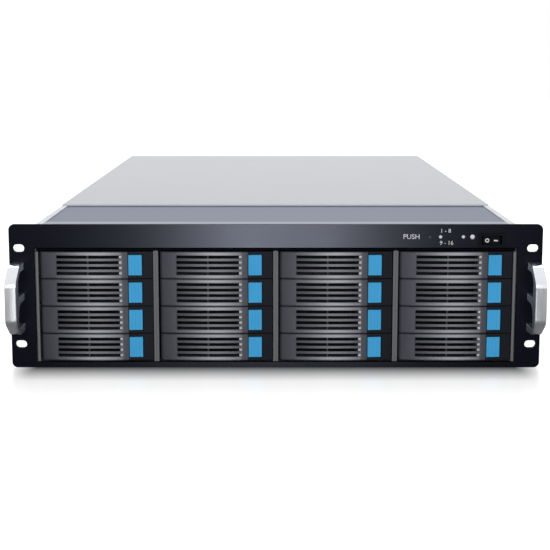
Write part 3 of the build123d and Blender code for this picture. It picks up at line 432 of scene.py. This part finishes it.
# Rear modules
# Two plug-in power supplies and an interface canister, in folded steel cases that slide in from the rear.
# Each supply has a bent pull handle and a release tab; two knurled screws hold the canister.
MODULE_EDGE = 0.3 * MM
PULL_EDGE = 0.8 * MM
KNOB_EDGE = 0.5 * MM
TAB_EDGE = 0.7 * MM
INLET_EDGE = 0.25 * MM
PORT_EDGE = 0.15 * MM
INLET_RIM = 2.2 * MM
INLET_PROUD = 0.9 * MM
INLET_CORNER = 5 * MM
PORT_RIM = 1.0 * MM
PORT_PROUD = 0.5 * MM
module_zinc = galvanised("module_zinc", (0.52, 0.53, 0.55), (0.60, 0.61, 0.63))
bail_black = painted("bail_black", (0.03, 0.03, 0.033), 0.4)
tab_green = moulded("tab_green", (0.05, 0.16, 0.09), 0.4)
modules = solids("rear_modules")
cases = left_to_right(modules[:3])
rear_face = corners(cases[0])[1].y
for name, shape in zip(("supply_case_1", "supply_case_2", "canister_case"), cases):
    make(name, shape, module_zinc, "shelf", MODULE_EDGE, "rear_modules")
small = sorted(modules[3:], key=lambda shape: -span(shape).y)
for number, shape in enumerate(small[:2]):
    make(f"supply_handle_{number + 1}", shape, bail_black, "shelf", PULL_EDGE)
for number, shape in enumerate(left_to_right(small[2:4])):
    make(f"canister_knob_{number + 1}", shape, screw_plate, "shelf", KNOB_EDGE)
for number, shape in enumerate(small[4:]):
    make(f"release_tab_{number + 1}", shape, tab_green, "shelf", TAB_EDGE)


def rim_round(low, high, width, proud, cut=0.0):
    """A flat rim round a mouth in a rear face, with its upper corners cut off where the mouth's are."""
    shape = bmesh.new()
    outline = [(low.x, low.z), (high.x, low.z), (high.x, high.z - cut), (low.x, high.z - cut)]
    if cut:
        outline[3:3] = [(high.x - cut, high.z), (low.x + cut, high.z)]
    inner = [shape.verts.new((x, rear_face, z)) for x, z in outline]
    mouth = shape.faces.new(inner)
    bmesh.ops.recalc_face_normals(shape, faces=[mouth])
    grown = bmesh.ops.extrude_edge_only(shape, edges=mouth.edges)
    outer = [item for item in grown["geom"] if isinstance(item, bmesh.types.BMVert)]
    middle = Vector(((low.x + high.x) / 2, rear_face, (low.z + high.z) / 2))
    size = high - low
    grow = ((size.x + 2 * width) / size.x, 1, (size.z + 2 * width) / size.z)
    bmesh.ops.scale(shape, vec=grow, verts=outer, space=Matrix.Translation(-middle))
    bmesh.ops.delete(shape, geom=[mouth], context="FACES_ONLY")
    ring = list(shape.faces)
    bmesh.ops.recalc_face_normals(shape, faces=ring)
    grown = bmesh.ops.extrude_face_region(shape, geom=ring)
    raised = [item for item in grown["geom"] if isinstance(item, bmesh.types.BMVert)]
    bmesh.ops.translate(shape, verts=raised, vec=(0, proud, 0))
    bmesh.ops.recalc_face_normals(shape, faces=shape.faces)
    return shape


for opening in frame["record"]["physics"]["openings"]:
    name = opening["name"]
    low, high = (Vector(corner) for corner in opening["box_m"])
    if name.startswith("inlet"):
        high.z += INLET_CORNER
        rim = rim_round(low, high, INLET_RIM, INLET_PROUD, INLET_CORNER)
        make(f"{name}_rim", rim, plug_black, "shelf", INLET_EDGE)
    if name.startswith(("data_port", "service_port")):
        rim = rim_round(low, high, PORT_RIM, PORT_PROUD)
        make(f"{name}_rim", rim, screw_plate, "shelf", PORT_EDGE)

# Front panel
# A flat aluminium plate with slotted ears, in a blue-black satin coating, with a lip along its top edge.
# Side plates behind the ears hold it to the body with three screws each. The legends are printed in white.
PANEL_EDGE = 0.4 * MM
LAMP_EDGE = 0.3 * MM
HOUSING_EDGE = 0.35 * MM
SIDE_PLATE_TALL = 60 * MM
PLATE_SCREW_Z = (32 * MM, 66 * MM, 100 * MM)
SOLID_CORNER = 2.5 * MM
EAR_CORNER = 5 * MM
LEGEND_HEIGHT = 4.4 * MM
LEGEND_LEFT = 14 * MM
LAMP_LEGEND_HEIGHT = 3.6 * MM
UPPER_LEGEND = Vector((4.5 * MM, 0, 5.4 * MM))
LOWER_LEGEND = Vector((5.5 * MM, 0, -5.6 * MM))
LEGEND_PROUD = 0.02 * MM
CAPITAL_SHARE = 0.69
panel_coat = painted(
    "panel_coat", (0.0018, 0.0021, 0.0062), 0.32, Specular_IOR_Level=0.05, Specular_Tint=(0.77, 0.82, 1, 1)
)
lip_silver = painted("lip_silver", (0.43, 0.46, 0.53), 0.4, Specular_IOR_Level=0.15)
switch_black = moulded("switch_black", (0.005, 0.0055, 0.008), 0.5, Specular_IOR_Level=0.06)
lamp_white = moulded("lamp_white", (0.78, 0.80, 0.84), 0.22, grain=0.02, Coat_Weight=0.4)
legend_white = painted("legend_white", (0.80, 0.81, 0.83), 0.5)
front = solids("front_panel")
panel = front.pop(0)
panel_low, panel_high = corners(panel)
rounder = EAR_CORNER / SOLID_CORNER
for x in (panel_low.x, panel_high.x):
    for z in (panel_low.z, panel_high.z):
        reach = SOLID_CORNER + MERGE
        arc = [vert for vert in panel.verts if max(abs(vert.co.x - x), abs(vert.co.z - z)) < reach]
        bmesh.ops.scale(panel, vec=(rounder, 1, rounder), verts=arc, space=Matrix.Translation((-x, 0, -z)))
front_plate = make("front_plate", panel, panel_coat, "shelf", PANEL_EDGE, "front_panel")
lip = max(front, key=lambda shape: span(shape).x)
front.remove(lip)
make("panel_lip", lip, lip_silver, "shelf", CAGE_EDGE)
plates = [shape for shape in front if span(shape).z > SIDE_PLATE_TALL]
for side, shape in zip(("left", "right"), left_to_right(plates)):
    front.remove(shape)
    low, high = corners(shape)
    out = -1 if side == "left" else 1
    x = low.x if side == "left" else high.x
    spots = [Vector((x, (low.y + high.y) / 2, z)) for z in PLATE_SCREW_Z]
    make(f"side_plate_{side}", shape, panel_coat, "shelf", CAGE_EDGE)
    screws = heads(spots, (out, 0, 0), SCREW_RADIUS, SCREW_HEIGHT, SCREW_RECESS)
    make(f"side_plate_screws_{side}", screws, screw_plate, "shelf")
*lamps, housing, board = sorted(front, key=lambda shape: span(shape).x)
lamps = left_to_right(lamps)
first_lamp = sum(corners(lamps[0]), Vector()) / 2
for number, shape in enumerate(lamps):
    make(f"lamp_{number + 1}", shape, lamp_white, "shelf", LAMP_EDGE)
make("control_board", board, board_green, "shelf", CAGE_EDGE)
make("switch_housing", housing, switch_black, "shelf", HOUSING_EDGE)


def legend(name, words, x, z, height):
    """Printed words on the panel face, centred on x and z."""
    curve = bpy.data.curves.new(name, "FONT")
    curve.body = words
    curve.size = height / CAPITAL_SHARE
    curve.align_x = "CENTER"
    curve.align_y = "CENTER"
    curve.resolution_u = 3
    text = bpy.data.objects.new(name, curve)
    bpy.context.scene.collection.objects.link(text)
    bpy.context.view_layer.update()
    shape = bmesh.new()
    shape.from_mesh(bpy.data.meshes.new_from_object(text))
    bpy.data.objects.remove(text)
    upright = Matrix.Rotation(math.radians(90), 3, "X")
    bmesh.ops.rotate(shape, verts=shape.verts, cent=(0, 0, 0), matrix=upright)
    bmesh.ops.translate(shape, verts=shape.verts, vec=(x, panel_low.y - LEGEND_PROUD, z))
    make(name, shape, legend_white, "shelf")


button_low, button_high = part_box("reset_button")
legend_z = (button_low.z + button_high.z) / 2
legend("legend_button", "PUSH", button_low.x - LEGEND_LEFT, legend_z, LEGEND_HEIGHT)
lamp_legends = (("legend_upper", "1 - 8", UPPER_LEGEND), ("legend_lower", "9 - 16", LOWER_LEGEND))
for name, words, shift in lamp_legends:
    legend(name, words, first_lamp.x + shift.x, legend_z + shift.z, LAMP_LEGEND_HEIGHT)

# Controls
# A small push button with a collar behind the panel, and a rocker switch on an upright pivot.
# Both are black mouldings. The rocker's two marks are printed in white.
BUTTON_EDGE = 0.25 * MM
ROCKER_EDGE = 0.3 * MM
FACING_FRONT = -0.8
MARK_RADIUS = 1.9 * MM
MARK_STROKE = 0.85 * MM
BAR_LENGTH = 3.6 * MM
BAR_STROKE = 1.19 * MM
MARK_PROUD = 0.03 * MM
button_black = moulded("button_black", (0.03, 0.03, 0.034), 0.45)
rocker_satin = moulded("rocker_satin", (0.005, 0.005, 0.006), 0.5, grain=0.03, Specular_IOR_Level=0.04)
button = solids("reset_button")[0]
make("push_button", button, button_black, "reset", BUTTON_EDGE, "reset_button")
rocker = solids("power_rocker")[0]
faces = [face for face in rocker.faces if face.normal.y < FACING_FRONT]
faces.sort(key=lambda face: face.calc_center_median().x)
slopes = [(face.calc_center_median(), face.normal.copy()) for face in (faces[0], faces[-1])]
make("rocker", rocker, rocker_satin, "rocker", ROCKER_EDGE, "power_rocker")
ring = bmesh.new()
bmesh.ops.create_circle(ring, cap_ends=True, segments=28, radius=MARK_RADIUS)
bmesh.ops.inset_region(ring, faces=ring.faces, thickness=MARK_STROKE, use_boundary=True)
bmesh.ops.delete(ring, geom=[max(ring.faces, key=lambda face: len(face.verts))], context="FACES_ONLY")
bar = bmesh.new()
bmesh.ops.create_grid(bar, x_segments=1, y_segments=1, size=0.5)
bmesh.ops.scale(bar, vec=(BAR_LENGTH, BAR_STROKE, 1), verts=bar.verts)
up = Vector((0, 0, 1))
for name, shape, slope in (("rocker_mark_off", ring, slopes[0]), ("rocker_mark_on", bar, slopes[1])):
    middle, out = slope
    turn = Matrix((up.cross(out), up, out)).transposed().to_4x4()
    bmesh.ops.transform(shape, matrix=Matrix.Translation(middle + MARK_PROUD * out) @ turn, verts=shape.verts)
    make(name, shape, legend_white, "rocker")

# Handles
# Two bow handles milled from aluminium bar, with two finger openings each, and satin anodised.
# Screws from behind the ears hold their three legs.
HANDLE_EDGE = 1.1 * MM


def anodised(name, dull, bright):
    """Satin aluminium, drawn out in fine lines along its length."""
    material, shader, place = new_finish(name, Metallic=0.9)
    lines = place.noise(per_metre=900.0, stretch=(1, 1, 0.04), detail=3.0)
    lines.between(dull, bright).to(shader, "Base Color")
    (0.1 + lines * 0.12).to(shader, "Roughness")
    return material


handle_silver = anodised("handle_silver", (0.72, 0.74, 0.78), (0.84, 0.86, 0.90))
for side, shape in zip(("left", "right"), left_to_right(solids("rack_handles"))):
    make(f"handle_{side}", shape, handle_silver, "shelf", HANDLE_EDGE, "rack_handles")

# Carriers
# Sixteen alike: a steel pan under a drive, a moulded frame with a hinge pin, a clear light bar, a slotted
# lever that swings on the pin, and a blue push latch beside it. One of each is shaped and set in every bay.
DRIVE_EDGE = 0.5 * MM
PAN_EDGE = 0.1 * MM
CARRIER_EDGE = 0.25 * MM
LEVER_EDGE = 0.35 * MM
LATCH_EDGE = 0.3 * MM
HIGHLIGHT_HALF = 33 * MM
SHADED_INSIDE_DEPTH = 3.4 * MM
RAIL_START = 8.6 * MM
RAIL_FULL = 10.2 * MM
BROW_START = 11 * MM
BROW_FULL = 12.2 * MM
SLOTS_LEFT = -36.2 * MM
SLOT_PITCH = 5.05 * MM
SLOT_EDGE = 1.2 * MM
RIB_MIDDLE = -7.2 * MM
RIB_HALF = 1.0 * MM
SLOPE_SHADE_START = 0.15
SLOPE_SHADE_FULL = 0.6
END_START = 22.5 * MM
END_FULL = 25 * MM
BAR_HIGHLIGHT = 0.46
PLAIN_HIGHLIGHT = 0.82
BROW_SHADE = 0.25
END_SHADE = 0.5
RIB_SHADE = 0.85
FRONT_SHADE_DEPTH = 2 * MM
FRONT_SHADE_BLACK = (0.004, 0.004, 0.005)
lever_low, lever_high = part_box("lever_1a")
sled_low, sled_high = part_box("sled_1a")
bay_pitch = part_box("sled_1b")[0].x - sled_low.x
bay_middle = (sled_low.x + sled_high.x) / 2
row_pitch = abs(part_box("lever_2a")[0].z - lever_low.z)
row_middle = (lever_low.z + lever_high.z) / 2


def lever_painted_light(name, dark, pale):
    """Dark moulding with a painted highlight on its front, palest in the middle and along two rails.

    The highlight is weaker on the bars; painted shade darkens the slot walls, the brows, the ends and the
    middle rib.
    """
    material, shader, place = new_finish(name, Metallic=0.2, Specular_IOR_Level=0.2)
    across = place.part("x")
    turn = across.math("FLOORED_MODULO", across - (bay_middle - 4.5 * bay_pitch), bay_pitch) - bay_pitch / 2
    upright = place.part("z")
    rise = upright.math("PINGPONG", upright - (row_middle - 4 * row_pitch), row_pitch / 2)
    # A painted highlight, palest in the middle of each bay.
    reach = turn / HIGHLIGHT_HALF
    fade = 1 / (1 + reach * reach)
    slotted = turn.above(SLOTS_LEFT) * (1 - turn.above(END_START))
    # A painted highlight along the two rails, weaker on the bars and even over the plain ends.
    rail = rise.ramp(RAIL_START, RAIL_FULL, BAR_HIGHLIGHT, 1.0)
    band = PLAIN_HIGHLIGHT + (rail - PLAIN_HIGHLIGHT) * slotted
    # Painted shade on the brows and on the end by the latch.
    brow = rise.ramp(BROW_START, BROW_FULL, 1.0, BROW_SHADE)
    end = turn.ramp(END_START, END_FULL, 1.0, END_SHADE)
    # Painted shade on faces turned up or down: the slot walls and the lever's edges.
    slope = abs(place.node("ShaderNodeTexCoord", out="Normal").part("z"))
    slope_shade = slope.ramp(SLOPE_SHADE_START, SLOPE_SHADE_FULL, 1.0, 0.0)
    # Painted shade on the middle rib where it crosses the slots.
    in_slot = rise.math("PINGPONG", rise, SLOT_PITCH / 2).above(SLOT_EDGE) * (1 - rise.above(2 * SLOT_PITCH))
    rib = 1 - in_slot * (1 - abs(turn - RIB_MIDDLE).above(RIB_HALF)) * RIB_SHADE
    patch = place.noise(per_metre=40.0)
    painted_light_and_tone = fade * fade * band * brow * end * slope_shade * rib + patch * 0.04 - 0.02
    # Painted shade on everything behind the lever's front.
    inside = place.part("y").above(lever_low.y + SHADED_INSIDE_DEPTH)
    ((1 - inside) * painted_light_and_tone).between(dark, pale).to(shader, "Base Color")
    (0.36 + patch * 0.08).to(shader, "Roughness")
    place.noise(per_metre=3200.0, detail=1.0).bump(shader, 0.08, 0.02 * MM)
    return material


def cast(name, dull, bright, shade_until):
    """Dark cast aluminium, finely grained, black before a given depth; the black and some of the dark are
    painted shade.
    """
    material, shader, place = new_finish(name, Metallic=0.9)
    grain = place.noise(per_metre=500.0, detail=5.0)
    behind_front = place.part("y").above(shade_until)
    behind_front.between(FRONT_SHADE_BLACK, grain.between(dull, bright)).to(shader, "Base Color")
    (0.36 + grain * 0.2).to(shader, "Roughness")
    grain.bump(shader, 0.15, 0.05 * MM)
    return material


# The lever's colour holds its painted highlight and painted shade.
lever_grey = lever_painted_light("lever_grey", (0.016, 0.017, 0.028), (0.45, 0.455, 0.50))
frame_grey = moulded("frame_grey", (0.013, 0.015, 0.020), 0.42, Specular_IOR_Level=0.08)
latch_blue = moulded("latch_blue", (0.070, 0.45, 0.84), 0.36, grain=0.05, Specular_IOR_Level=0.1)
light_bar = moulded("light_bar", (0.55, 0.57, 0.60), 0.3, grain=0.02)
pan_zinc = galvanised("pan_zinc", (0.46, 0.47, 0.49), (0.56, 0.57, 0.59))
pin_steel = plated("pin_steel", (0.55, 0.56, 0.58), 0.25)
drive, pan, carrier_frame, bar, pin = solids("sled_1a")
drive_front = corners(drive)[0].y
# The drive's black front stands for the carrier's shade: painted shade.
drive_cast = cast("drive_cast", (0.030, 0.031, 0.033), (0.045, 0.046, 0.048), drive_front + FRONT_SHADE_DEPTH)
lever = solids("lever_1a")[0]
latch = solids("latch_1a")[0]
soften(drive, DRIVE_EDGE)
soften(pan, PAN_EDGE)
soften(carrier_frame, CARRIER_EDGE)
soften(lever, LEVER_EDGE)
soften(latch, LATCH_EDGE)
for row in "1234":
    for column in "abcd":
        bay = row + column
        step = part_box(f"sled_{bay}")[0] - sled_low
        pieces = (
            ("drive", drive, drive_cast, "sled", "sled_metal", None),
            ("pan", pan, pan_zinc, "sled", "sled_metal", f"sled_{bay}"),
            ("carrier_frame", carrier_frame, frame_grey, "sled", "sled_metal", None),
            ("light_bar", bar, light_bar, "sled", "sled_metal", None),
            ("hinge_pin", pin, pin_steel, "sled", "sled_metal", None),
            ("lever_front", lever, lever_grey, "lever", "carrier_grey", f"lever_{bay}"),
            ("push_latch", latch, latch_blue, "latch", "latch_blue", f"latch_{bay}"),
        )
        for name, shape, finish, body, slot, node in pieces:
            placed = shape.copy()
            bmesh.ops.translate(placed, verts=placed.verts, vec=step)
            make(f"{name}_{bay}", placed, finish, f"{body}_{bay}", node=node)

# Top cover
# A lift-off sheet with a front hem, side flanges and a rear lip, in a pale silver satin coating.
# Three screws through the rear lip hold it.
COVER_EDGE = 0.45 * MM
COVER_SCREW_X = (-150 * MM, 0.0, 150 * MM)
COVER_SCREW_DROP = 9 * MM
cover_silver = painted("cover_silver", (0.56, 0.58, 0.62), 0.3, Specular_IOR_Level=0.3)
cover = solids("top_cover")[0]
cover_high = corners(cover)[1]
make("cover_sheet", cover, cover_silver, "cover", COVER_EDGE, "top_cover")
spots = [Vector((x, cover_high.y, cover_high.z - COVER_SCREW_DROP)) for x in COVER_SCREW_X]
screws = heads(spots, (0, 1, 0), SCREW_RADIUS, SCREW_HEIGHT, SCREW_RECESS)
make("cover_screws", screws, screw_plate, "cover")

# Stage
# A grey card floor that glows white to the camera but round the shelf's foot, where a real shadow and a
# painted shadow lie. In reflections it glows only far out, a painted shade that leaves it grey near the
# shelf. One wide lamp hangs above, a fill stands in front, and a low card shows in the panel's gloss alone.
# The world is white to the camera and in reflections, and lights the shelf at a plain level.
FLOOR_SIZE = 6.0
CARD_GREY = (0.22, 0.22, 0.22, 1)
SHADE_END = 0.056
SHADOW_TAIL_START = 0.042
SHADOW_TAIL_END = 0.125
SHADOW_TAIL_LEVEL = 0.76
EAR_SHADE = 4 * MM
MIRRORED_NEAR = 0.55
MIRRORED_FAR = 0.95
MIRRORED_LEVEL = 0.6
WORLD_LEVEL = 0.25
RAYS = ("Is Camera Ray", "Is Glossy Ray", "Is Transmission Ray")
floor_shape = bmesh.new()
bmesh.ops.create_grid(floor_shape, x_segments=1, y_segments=1, size=FLOOR_SIZE)
floor_mesh = bpy.data.meshes.new("floor")
floor_shape.to_mesh(floor_mesh)
floor_shape.free()
floor = bpy.data.objects.new("floor", floor_mesh)
bpy.context.scene.collection.objects.link(floor)
floor_white, shader, place = new_finish("floor_white", Roughness=0.3, Specular_IOR_Level=0.3)
shader.inputs["Base Color"].default_value = CARD_GREY
seen, mirrored, refracted = (place.node("ShaderNodeLightPath", out=ray) for ray in RAYS)
foot = (body_high.x, -panel_low.y, 0)
steeper_beside = (SHADE_END / (panel_high.x + EAR_SHADE - body_high.x), 1, 1)
past = place.vector("ABSOLUTE").vector("SUBTRACT", foot).vector("MAXIMUM", (0, 0, 0))
away = past.vector("MULTIPLY", steeper_beside).vector("LENGTH", out=1)
# The glow grows from the shelf's foot outwards: a painted shadow there, over the real one.
shade = away.ramp(0.0, SHADE_END, 0.0, 1.0)
shadow_tail = away.ramp(SHADOW_TAIL_START, SHADOW_TAIL_END, SHADOW_TAIL_LEVEL, 1.0)
fill = away.math("MINIMUM", shade, shadow_tail)
# In reflections the floor glows only far out: painted shade keeps it grey near the shelf.
far = away.ramp(MIRRORED_NEAR, MIRRORED_FAR, 0.0, MIRRORED_LEVEL)
(seen * fill + (mirrored + refracted) * far).between((0, 0, 0), (1, 1, 1)).to(shader, "Emission Color")
shader.inputs["Emission Strength"].default_value = 1.0
floor_mesh.materials.append(floor_white)

world = bpy.data.worlds.new("studio")
world.use_nodes = True
bpy.context.scene.world = world
tree = world.node_tree
light_path = tree.nodes.new("ShaderNodeLightPath")
shown, mirrored, refracted = (Wire(tree, light_path.outputs[ray]) for ray in RAYS)
shown = shown.math("MAXIMUM", shown, mirrored + refracted)
background = tree.nodes["Background"]
(shown * (1 - WORLD_LEVEL) + WORLD_LEVEL).to(background, "Strength")
background.inputs["Color"].default_value = (1, 1, 1, 1)


def soft_lamp(name, place, aim, size, watts, mirror=None):
    """An area lamp that looks at a point. One with a mirror shows in that piece's gloss alone."""
    lamp = bpy.data.lights.new(name, "AREA")
    lamp.shape = "RECTANGLE"
    lamp.size, lamp.size_y = size
    lamp.energy = watts
    holder = bpy.data.objects.new(name, lamp)
    holder.location = place
    holder.rotation_euler = (Vector(aim) - Vector(place)).to_track_quat("-Z", "Y").to_euler()
    holder.visible_camera = False
    if mirror:
        holder.visible_diffuse = False
        lit = bpy.data.collections.new(f"{name}_mirror")
        lit.objects.link(mirror)
        holder.light_linking.receiver_collection = lit
    bpy.context.scene.collection.objects.link(holder)


soft_lamp("top_lamp", place=(0, 0.7, 2.0), aim=(0, 0.3, 0), size=(2.0, 1.4), watts=23)
soft_lamp("front_lamp", place=(-0.1, -2.6, 0.8), aim=(0, -0.3, 0.06), size=(1.2, 0.8), watts=29)
soft_lamp(
    "low_card",
    place=(0, -0.96, 0.022),
    aim=(0, -0.34, 0.118),
    size=(0.22, 0.036),
    watts=12,
    mirror=front_plate,
)

# Camera
# Set to the photograph: before the panel, above it and looking a little down.
# The shift puts the shelf at the place in the picture that it has there.
SENSOR_WIDTH = 36
LENS = 71.65
SHIFT_RIGHT = 0.0031
SHIFT_UP = -0.1335
STAND = (-0.0022, -1.3149, 0.2822)
TILT = math.radians(82.473)
camera_data = bpy.data.cameras.new("camera")
camera_data.lens = LENS
camera_data.sensor_width = SENSOR_WIDTH
camera_data.shift_x = SHIFT_RIGHT
camera_data.shift_y = SHIFT_UP
camera = bpy.data.objects.new("camera", camera_data)
camera.location = STAND
camera.rotation_euler = (TILT, 0, 0)
bpy.context.scene.collection.objects.link(camera)
bpy.context.scene.camera = camera
bpy.context.scene.view_settings.view_transform = "Standard"
